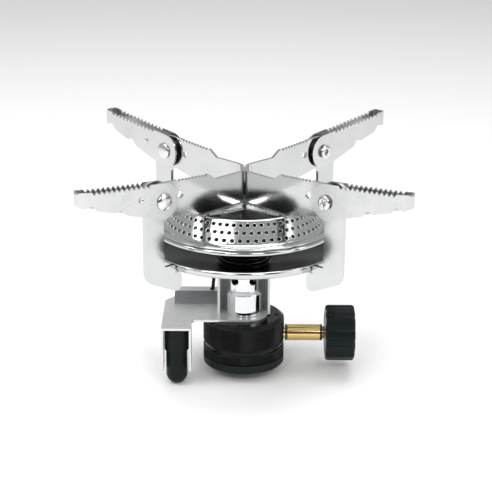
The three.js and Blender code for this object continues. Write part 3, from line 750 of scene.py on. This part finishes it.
@dataclass
class BurnerHead(Assembly):
    """Dish, ringed neck, pan and the pressed, perforated cap."""

    steps: int = 256
    sheet: float = 0.8
    dish_radius: float = 41.2
    dish_rim: Pair = (50.8, 53.7)
    dish_hub: Pair = (6.95, 43.2)
    dish_floor_start: float = 11.4
    notch_width: float = 3.2
    notch_reach: float = 4.0
    neck_bore: float = 7.2
    neck_ring: Pair = (10.8, 9.4)
    neck_height: Pair = (44.1, 58.7)
    neck_rings: int = 4
    head_radius: float = 38.0
    head_low: float = 58.8
    head_bore: float = 7.4
    cap_foot: Pair = (33.6, 62.0)
    cap_rim: Pair = (27.6, 70.3)
    cap_centre_z: float = 68.2
    ridge_top: float = 71.3
    ridge_core: float = 0.45
    ridge_foot: float = 3.2
    ridge_taper: float = 0.72
    ridge_offset: float = 4.0
    lobe_radius: float = 30.6
    lobe_offset: float = 4.2
    lobe_start: float = 17.0
    hole_bands: int = 3
    holes_round: int = 64
    band_start: float = 0.5
    band_pitch: float = 3.1
    hole_radius: float = 0.88
    hole_lip: float = 1.04
    cap_thickness: float = 0.6
    floor_cuts: int = 44

    def build(self) -> None:
        """Makes the head's pieces."""
        self.shop.place(self.dish(), "rolled_edge_dish", TURNED_STEEL, "base_dish", others=[PAINTED_SHADE_DISH])
        self.shop.place(self.neck(), "ringed_burner_neck", NECK_ENAMEL, "burner_neck")
        self.shop.place(self.pan(), "burner_pan_pressing", TURNED_STEEL, "burner_pan")
        cap = self.shop.place(
            self.cap(), "perforated_burner_cap", TURNED_STEEL, "burner_cap", others=[PAINTED_SHADE_STEEL],
            steady=False)
        wall = cap.modifiers.new("cap_sheet", "SOLIDIFY")
        wall.thickness = self.cap_thickness * MM
        wall.offset = -1.0
        wall.use_even_offset = True

    def dish(self) -> BMesh:
        """The shallow dish, with a rolled rim and a notch for the igniter's insulator."""
        radius, rim_inner_reach = self.dish_radius, self.dish_radius - 2.6
        low, high = self.dish_rim
        hub, hub_low = self.dish_hub
        floor = self.dish_floor_start
        hub_high = hub_low + self.sheet
        mesh = turned([
            (hub, hub_low, 0.1), (floor, hub_low, 0.8), (radius - 2.9, low - 0.2, 0.6),
            (radius - 1.7, low, 0.4), (radius, low, 1.1), (radius, high, 0.9), (radius - 2.1, high, 0.5),
            (rim_inner_reach, low + 0.8, 0.5), (floor - 0.2, hub_high, 0.8), (hub, hub_high, 0.1),
        ], self.steps)
        notch = rod(self.notch_width / 2.0, hub_high, high + 4.3)
        outer_half = [vert for vert in notch.verts if vert.co.y > 0.1]
        bmesh.ops.transform(
            notch, matrix=Matrix.Translation((0.0, self.notch_reach, 0.0)), verts=outer_half)
        moved(notch, Matrix.Translation((0.0, Igniter.electrode_y, 0.0)))
        mesh = cut(mesh, notch)
        # Upward faces inside the rolled rim take the near-black finish: painted shade under the pan.
        for face in mesh.faces:
            centre = face.calc_center_median()
            if face.normal.z > 0.3 and reach_of(centre) < rim_inner_reach:
                face.material_index = 1
        return mesh

    def neck(self) -> BMesh:
        """The gloss neck: round rings one over the other."""
        low, high = self.neck_height
        crest, valley = self.neck_ring
        profile = [(self.neck_bore, low, 0.0), (crest - 0.6, low, 0.3)]
        pitch = (high - low) / self.neck_rings
        for number in range(self.neck_rings):
            foot = low + pitch * number
            profile += [
                (valley, foot + pitch * 0.12, 0.3), (crest, foot + pitch * 0.28, 0.75),
                (crest, foot + pitch * 0.78, 0.75), (valley, foot + pitch * 0.94, 0.3),
            ]
        profile += [(crest - 0.6, high, 0.2), (self.neck_bore, high, 0.0)]
        return turned(profile, 128)

    def pan(self) -> BMesh:
        """The lower half of the head, with a lip that is rolled in."""
        bore, radius, low = self.head_bore, self.head_radius, self.head_low
        high = low + self.sheet
        return turned([
            (bore, low, 0.1), (radius - 1.0, low, 0.5), (radius, low + 0.6, 0.5), (radius, low + 1.8, 0.45),
            (radius - 0.7, low + 2.3, 0.2), (radius - 1.4, low + 2.3, 0.1), (radius - 1.1, high, 0.3),
            (bore, high, 0.1),
        ], self.steps)

    def cap(self) -> BMesh:
        """The pressed cap as a thin skin: crossed ridges, four-sided wall and three rows of holes."""
        mesh = self._cap_skin()
        self._press_ridges(mesh)
        self._pierce(mesh)
        self._square_wall(mesh)
        return mesh

    def _cap_skin(self) -> BMesh:
        """Turns the cap's skin from its centre to its flange."""
        foot, rim = Vector(self.cap_foot), Vector(self.cap_rim)
        slope = (rim - foot).normalized()
        starts = [self.band_start + self.band_pitch * i for i in range(self.hole_bands + 1)]
        bands = [foot + slope * start for start in reversed(starts)]
        flange = self.head_radius - 0.35
        profile = [
            (0.0, self.cap_centre_z, 0.0), (rim.x - 1.9, rim.y - 0.35, 0.0),
            (rim.x - 0.9, rim.y + 0.1, 0.35), (rim.x + 0.1, rim.y - 0.1, 0.45),
            *[(point.x, point.y, 0.0) for point in bands],
            (foot.x + 0.35, foot.y, 0.3), (flange - 0.45, foot.y, 0.0), (flange, foot.y - 0.25, 0.15),
        ]
        mesh = outline_wire(profile, closed=False, steps=3)
        floor_edges = [edge for edge in mesh.edges if edge.calc_length() > rim.x / 2.0]
        bmesh.ops.subdivide_edges(mesh, edges=floor_edges, cuts=self.floor_cuts)
        spin_round(mesh, self.steps)
        if sum(face.normal.z for face in mesh.faces) < 0.0:
            bmesh.ops.reverse_faces(mesh, faces=mesh.faces[:])
        return mesh

    def _press_ridges(self, mesh: BMesh) -> None:
        """Lifts the crossed ridges out of the cap's four sunken floors."""
        floor: set[BMVert] = set()
        floor_reach = self.cap_rim[0] - 1.1
        for vert in mesh.verts:
            reach = reach_of(vert.co)
            if reach > floor_reach or vert.co.z < self.cap_centre_z - 0.5:
                continue
            side = math.copysign(1.0, vert.co.y)
            across = abs(abs(vert.co.x) - max(0.0, abs(vert.co.y) - self.ridge_offset)) * math.sqrt(0.5)
            if abs(vert.co.y) < self.ridge_offset:
                across = min(abs(vert.co.x), math.hypot(vert.co.x, vert.co.y - side * self.ridge_offset))
            along = min(1.0, reach / floor_reach)
            foot = self.ridge_foot * (1.0 - self.ridge_taper * along)
            lift = 1.0 - (across - self.ridge_core) / (foot - self.ridge_core)
            lift = max(0.0, min(1.0, lift))
            crest = self.ridge_top + (self.cap_rim[1] - self.ridge_top) * along ** 2
            vert.co.z += (crest - vert.co.z) * lift
            if lift == 0.0:
                floor.add(vert)
        # The sunken floor faces take the near-black steel: painted dark reflection and shade in the cap's
        # floors.
        for face in mesh.faces:
            if all(vert in floor for vert in face.verts):
                face.material_index = 1

    def _square_wall(self, mesh: BMesh) -> None:
        """Draws the wall into four flatter arcs that meet in creases over the ridges."""
        foot_reach, rim_reach = self.cap_foot[0], self.cap_rim[0]
        for vert in mesh.verts:
            reach = reach_of(vert.co)
            azimuth = azimuth_of(vert.co)
            turn = (azimuth + QUARTER_TURN / 2.0) % QUARTER_TURN - QUARTER_TURN / 2.0
            bulge = math.sqrt(self.lobe_radius ** 2 - (self.lobe_offset * math.sin(turn)) ** 2)
            arc = (bulge - self.lobe_offset * math.cos(turn)) / self.cap_rim[0]
            if reach > rim_reach:
                share = max(0.0, (foot_reach - reach) / (foot_reach - rim_reach))
            else:
                share = max(0.0, (reach - self.lobe_start) / (rim_reach - self.lobe_start))
            draw_in(vert, 1.0 + (arc - 1.0) * share)

    def _pierce(self, mesh: BMesh) -> None:
        """Punches the staggered rows of round holes, each with a raised lip."""
        column_angle = FULL_TURN / self.steps
        columns = self.steps // self.holes_round
        foot = Vector(self.cap_foot)
        slope = (Vector(self.cap_rim) - foot).normalized()
        cells: dict[tuple[int, int], list[BMFace]] = {}
        for face in mesh.faces:
            centre = face.calc_center_median()
            reach = reach_of(centre)
            if reach < self.cap_rim[0] - 0.8 or centre.z < foot.y + 0.2:
                continue
            along = (centre.z - foot.y) / slope.y
            band = math.floor((along - self.band_start) / self.band_pitch)
            if not 0 <= band < self.hole_bands:
                continue
            column = math.floor((azimuth_of(centre) % FULL_TURN) / column_angle)
            shifted = column + (columns // 2) * (band % 2)
            cells.setdefault((band, shifted // columns % self.holes_round), []).append(face)
        merged: list[BMFace] = []
        for faces in cells.values():
            merged += bmesh.ops.dissolve_faces(mesh, faces=faces)["region"]
        for radius in (self.hole_lip, self.hole_radius):
            bmesh.ops.inset_individual(mesh, faces=merged, thickness=0.02, depth=0.0)
            for face in merged:
                self._make_round(face, radius)
        bmesh.ops.delete(mesh, geom=merged, context="FACES")

    def _make_round(self, face: BMFace, radius: float) -> None:
        """Moves a face's corners onto a circle on the cap's wall.

        Args:
            face: The face to make round.
            radius: The circle's radius.
        """
        (foot_reach, foot_z), (rim_reach, rim_z) = self.cap_foot, self.cap_rim
        fall = (foot_reach - rim_reach) / (rim_z - foot_z)
        centre = sum((vert.co for vert in face.verts), Vector()) / len(face.verts)
        outward = Vector((centre.x, centre.y, reach_of(centre))).normalized()
        across = Vector((-centre.y, centre.x, 0.0)).normalized()
        up = outward.cross(across)
        count = len(face.verts)
        first = face.verts[0].co - centre
        start = math.atan2(first.dot(up), first.dot(across))
        second = face.verts[1].co - centre
        step = math.atan2(second.dot(up), second.dot(across)) - start
        way = 1.0 if math.sin(step) > 0.0 else -1.0
        for number, vert in enumerate(face.verts):
            angle = start + way * FULL_TURN * number / count
            spoke = across * math.cos(angle) + up * math.sin(angle)
            vert.co = centre + spoke * radius
            on_wall = foot_reach + (foot_z - vert.co.z) * fall
            draw_in(vert, on_wall / reach_of(vert.co))


@dataclass(frozen=True)
class Corner:
    """One corner of the cross: its name and the way its arm points."""

    name: str
    azimuth: float
    side: float


CORNERS = (
    Corner("front_left", -0.75 * math.pi, -1.0),
    Corner("front_right", -0.25 * math.pi, -1.0),
    Corner("back_left", 0.75 * math.pi, 1.0),
    Corner("back_right", 0.25 * math.pi, 1.0),
)


@dataclass
class WindShield(Assembly):
    """The two bent sheets of the cross."""

    edge: float = 0.22
    # Heights, width and length of a dark strip of painted shade in the slot between the sheets at the hub.
    shade_strip: Pair = (71.9, 83.9)
    shade_strip_width: float = 0.28
    shade_strip_length: float = 5.6

    def build(self) -> None:
        """Makes the two sheets."""
        for side in ("left", "right"):
            node = f"wind_shield_{side}"
            mesh = node_copy(self.shop.nodes[node])
            self.shop.place(mesh, f"bent_sheet_{side}", SHIELD_STEEL, node, edge=self.edge)
        # A near-black strip fills the slot between the sheets at the hub: painted shade where the slot is
        # dark.
        low, high = self.shade_strip
        shade_strip = block((self.shade_strip_width, self.shade_strip_length, high - low), (0.0, 0.0, (low + high) / 2.0))
        bmesh.ops.bevel(
            shade_strip, geom=shade_strip.edges[:], offset=0.08, offset_type="OFFSET", segments=2, profile=0.5,
            affect="EDGES", material=-1)
        self.shop.place(shade_strip, "hub_weld_seam", PAINTED_SHADE_STEEL)


@dataclass
class PotSupports(Assembly):
    """Four folding toothed supports with their rivets and washers."""

    pivot_reach: float = 46.0
    pivot_z: float = 81.6
    shield_offset: float = 4.0
    half_width: float = 2.97
    rivet_radii: tuple[float, float, float, float] = (1.9, 1.0, 2.9, 3.5)
    edge: float = 0.13
    dimple: Pair = (11.5, 3.1)
    dimple_ball: float = 1.9
    dimple_depth: float = 0.5

    def build(self) -> None:
        """Makes the supports and their rivets."""
        for corner in CORNERS:
            place = self.placing(corner)
            node = f"pot_support_{corner.name}"
            arm = self.dimpled(node_copy(self.shop.nodes[node]), place)
            body = f"arm_{corner.name}"
            name = f"toothed_support_{corner.name}"
            self.shop.place(arm, name, SHEET_STEEL, node, body=body, edge=self.edge)
            node = f"pivot_rivet_{corner.name}"
            riveted_to = self.shop.nodes[node]["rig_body"]
            rivet = moved(self.rivet(), place)
            self.shop.place(rivet, f"tubular_rivet_{corner.name}", RIVET_STEEL, node, body=riveted_to)
            for face in ("inner", "outer"):
                self.shop.dress(SPRING_STEEL, f"pivot_washer_{corner.name}_{face}")

    def placing(self, corner: Corner) -> Matrix:
        """Gives the matrix from a support's own frame, pivot first and tip to +X, to the stove's."""
        pivot = (
            self.pivot_reach * math.cos(corner.azimuth),
            self.pivot_reach * math.sin(corner.azimuth) + corner.side * self.shield_offset,
            self.pivot_z,
        )
        return Matrix.Translation(pivot) @ Matrix.Rotation(corner.azimuth, 4, "Z")

    def dimpled(self, arm: BMesh, place: Matrix) -> BMesh:
        """Punches the stop dimple into both walls of a support.

        Args:
            arm: The support, in the stove's frame.
            place: The matrix from the support's own frame.

        Returns:
            The dimpled support.
        """
        for side in (-1.0, 1.0):
            ball = bmesh.new()
            bmesh.ops.create_uvsphere(ball, u_segments=20, v_segments=12, radius=self.dimple_ball)
            stand_off = self.half_width + self.dimple_ball - self.dimple_depth
            spot = place @ Vector((self.dimple[0], side * stand_off, self.dimple[1]))
            arm = cut(arm, moved(ball, Matrix.Translation(spot)))
        return arm

    def rivet(self) -> BMesh:
        """A rivet along Y: a polished dome on one end, a rolled tube on the other."""
        face = self.half_width + 0.12
        shank, tube, roll, head = self.rivet_radii
        mesh = turned([
            (0.0, -face + 1.6, 0.0), (tube, -face + 1.6, 0.1), (tube, -face - 0.4, 0.3),
            (1.6, -face - 0.95, 0.4), (roll, -face - 0.5, 0.35), (roll, -face, 0.1), (shank, -face, 0.0),
            (shank, face, 0.0), (head, face, 0.15), (head - 0.05, face + 0.5, 0.3), (2.2, face + 1.15, 0.7),
            (0.0, face + 1.4, 0.0),
        ], 48, closed=False)
        return moved(mesh, Matrix.Rotation(-QUARTER_TURN, 4, "X"))


@dataclass
class Igniter(Assembly):
    """Bracket, housing, push button, lead and electrode of the spark igniter."""

    electrode_y = 39.6
    guard_foot: float = 22.0
    plate_top: float = 21.6
    rib_end: float = -11.2
    axis: Pair = (-27.6, -14.3)
    case_radii: Pair = (5.05, 4.7)
    housing: Pair = (10.6, 20.4)
    case_top: float = 0.6
    lead_way_size: Triple = (2.4, 5.0, 3.4)
    lead_way_place: Triple = (-27.6, -8.5, 19.3)
    button_radius: float = 4.4
    button_height: Pair = (-4.5, 12.4)

    def build(self) -> None:
        """Makes the igniter's pieces."""
        mesh = node_copy(self.shop.nodes["igniter_bracket"])
        for face in mesh.faces:
            centre = face.calc_center_median()
            # The guard round the tube takes the brighter copy of the nickel: painted light.
            guard_in_painted_light = centre.z > self.guard_foot and centre.x > self.rib_end
            # The rib's front slopes take the darker copy of the nickel: painted shade.
            rib_in_painted_shade = face.normal.y < -0.4 and face.normal.z > 0.1 and centre.z > self.plate_top
            if rib_in_painted_shade:
                face.material_index = 1
            if guard_in_painted_light:
                face.material_index = 2
        self.shop.place(
            mesh, "pressed_igniter_bracket", SATIN_NICKEL, "igniter_bracket", edge=0.3,
            others=[PAINTED_SHADE_NICKEL, PAINTED_LIGHT_NICKEL])
        on_axis = Matrix.Translation((*self.axis, 0.0))
        low, high = self.housing
        outer, bore = self.case_radii
        ceiling = high - self.case_top
        case = moved(turned([
            (0.0, ceiling, 0.0), (bore, ceiling, 0.0), (bore, low, 0.1), (outer, low, 0.15),
            (outer, high, 0.5), (0.0, high, 0.0),
        ], 96, closed=False), on_axis)
        case = cut(case, block(self.lead_way_size, self.lead_way_place))
        self.shop.place(case, "igniter_case", CASE_GLOSS, "igniter_housing")
        low, high = self.button_height
        radius = self.button_radius
        button = moved(turned([
            (0.0, low, 0.0), (radius, low, radius - 0.05), (radius, high, 0.1), (0.0, high, 0.0),
        ], 96, closed=False, rounding_steps=12), on_axis)
        self.shop.place(
            button, "igniter_push_button", MOULDED_PLASTIC, "igniter_button", body="igniter_push")
        self.shop.dress(WHITE_CERAMIC, "igniter_piezo", "electrode_insulator")
        self.shop.dress(SPRING_STEEL, "igniter_spring", "spark_electrode")
        self.shop.dress(SEAT_RUBBER, "ignition_lead")


# Studio -----
@dataclass(frozen=True)
class SoftBox:
    """A rectangular studio light that faces the stove; places in millimetres."""

    name: str
    place: Triple
    size: Pair
    power: float

    def hang(self) -> None:
        """Adds the light to the scene."""
        lamp = bpy.data.lights.new(self.name, "AREA")
        lamp.shape = "RECTANGLE"
        lamp.size = self.size[0] * MM
        lamp.size_y = self.size[1] * MM
        lamp.energy = self.power
        holder = bpy.data.objects.new(self.name, lamp)
        holder.location = Vector(self.place) * MM
        aim = Vector((0.0, 0.0, AIM_HEIGHT)) * MM - holder.location
        holder.rotation_euler = aim.to_track_quat("-Z", "Y").to_euler()
        bpy.context.scene.collection.objects.link(holder)


@dataclass
class Studio:
    """Pale floor, soft light and the camera."""

    floor_z: float = -4.6
    floor_reach: float = 9000.0
    paper_roughness: float = 0.85
    paper_specular: float = 0.1
    paper_scale: float = 40.0
    paper_tint: Pair = (0.93, 0.95)
    sky: float = 0.5
    focal_length: float = 102.7
    sensor_width: float = 36.0
    clip: Pair = (0.01, 50.0)
    camera_distance: float = 580.1
    camera_height_angle: float = 19.22
    camera_roll: float = 0.36
    target: Triple = (0.76, 0.0, 50.57)
    card_corner: Triple = (-800.0, -900.0, 20.0)
    card_size: Pair = (1600.0, 1400.0)
    boxes: tuple[SoftBox, ...] = (
        SoftBox("key_box", (-520.0, -260.0, 760.0), (620.0, 620.0), 4.0),
        SoftBox("top_box", (60.0, 200.0, 900.0), (700.0, 420.0), 3.5),
        SoftBox("fill_box", (640.0, -320.0, 420.0), (460.0, 620.0), 1.5),
        SoftBox("right_glint_box", (170.0, -560.0, 430.0), (150.0, 110.0), 0.7),
        SoftBox("left_glint_box", (-170.0, -560.0, 430.0), (150.0, 110.0), 0.7),
    )

    def build(self) -> None:
        """Sets up the floor, the light and the camera."""
        self.lay_floor()
        self.light()
        self.stand_card()
        self.set_camera()

    def lay_floor(self) -> None:
        """Lays the pale floor."""
        mesh = bmesh.new()
        bmesh.ops.create_grid(
            mesh, x_segments=1, y_segments=1, size=self.floor_reach * MM,
            matrix=Matrix.Translation((0.0, 0.0, self.floor_z * MM)))
        floor = held_object(mesh, "pale_floor")
        material = bpy.data.materials.new("pale_floor_paper")
        material.use_nodes = True
        tree = material.node_tree
        shader = tree.nodes["Principled BSDF"]
        set_inputs(shader, {
            "Roughness": self.paper_roughness, "Specular IOR Level": self.paper_specular,
        })
        paper = tree.nodes.new("ShaderNodeTexNoise")
        set_inputs(paper, {"Scale": self.paper_scale})
        tint = tree.nodes.new("ShaderNodeMapRange")
        set_inputs(tint, {"To Min": self.paper_tint[0], "To Max": self.paper_tint[1]})
        place = tree.nodes.new("ShaderNodeTexCoord").outputs["Object"]
        tree.links.new(place, paper.inputs["Vector"])
        tree.links.new(paper.outputs["Fac"], tint.inputs["Value"])
        tree.links.new(tint.outputs["Result"], shader.inputs["Base Color"])
        floor.data.materials.append(material)

    def light(self) -> None:
        """Hangs the soft boxes and sets the even light round them."""
        world = bpy.data.worlds.new("studio")
        world.use_nodes = True
        air = world.node_tree.nodes["Background"]
        set_inputs(air, {"Color": (1.0, 1.0, 1.0, 1.0), "Strength": self.sky})
        bpy.context.scene.world = world
        for box in self.boxes:
            box.hang()
        bpy.context.scene.view_settings.view_transform = "Standard"

    def stand_card(self) -> None:
        """Stands a black card where only the bright metal sees it, to give it depth."""
        black = bpy.data.materials.new("black_card")
        black.use_nodes = True
        shader = black.node_tree.nodes["Principled BSDF"]
        set_inputs(shader, {
            "Base Color": (0.01, 0.01, 0.01, 1.0), "Roughness": 1.0, "Specular IOR Level": 0.0,
        })
        mesh = bmesh.new()
        corner, (width, height) = Vector(self.card_corner), self.card_size
        for across, up in ((0.0, 0.0), (width, 0.0), (width, height), (0.0, height)):
            mesh.verts.new((corner + Vector((across, 0.0, up))) * MM)
        mesh.faces.new(mesh.verts)
        card = held_object(mesh, "front_room_card")
        card.data.materials.append(black)
        card.visible_camera = False
        card.visible_diffuse = False
        card.visible_shadow = False
        card.visible_transmission = False

    def set_camera(self) -> None:
        """Places the camera and makes it the scene's."""
        lens = bpy.data.cameras.new("view")
        lens.lens = self.focal_length
        lens.sensor_width = self.sensor_width
        lens.clip_start, lens.clip_end = self.clip
        holder = bpy.data.objects.new("view", lens)
        tilt = math.radians(self.camera_height_angle)
        roll = math.radians(self.camera_roll)
        ahead = Vector((0.0, math.cos(tilt), -math.sin(tilt)))
        level = Vector((1.0, 0.0, 0.0))
        above = Vector((0.0, math.sin(tilt), math.cos(tilt)))
        right = level * math.cos(roll) + above * math.sin(roll)
        up = above * math.cos(roll) - level * math.sin(roll)
        spot = (Vector(self.target) - ahead * self.camera_distance) * MM
        holder.matrix_world = Matrix((
            (right.x, up.x, -ahead.x, spot.x),
            (right.y, up.y, -ahead.y, spot.y),
            (right.z, up.z, -ahead.z, spot.z),
            (0.0, 0.0, 0.0, 1.0),
        ))
        bpy.context.scene.collection.objects.link(holder)
        bpy.context.scene.camera = holder


def main() -> None:
    """Builds the studio and every sub-assembly round the frame, and logs how many pieces were made."""
    logging.basicConfig(level=logging.INFO, format="%(name)s: %(message)s")
    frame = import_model()
    Studio().build()
    shop = Workshop(frame["nodes"])
    for kind in (Valve, MixingTube, BurnerHead, WindShield, PotSupports, Igniter):
        kind(shop).build()
    LOG.info("%d pieces made", len(shop.made))


if __name__ == "__main__":
    main()
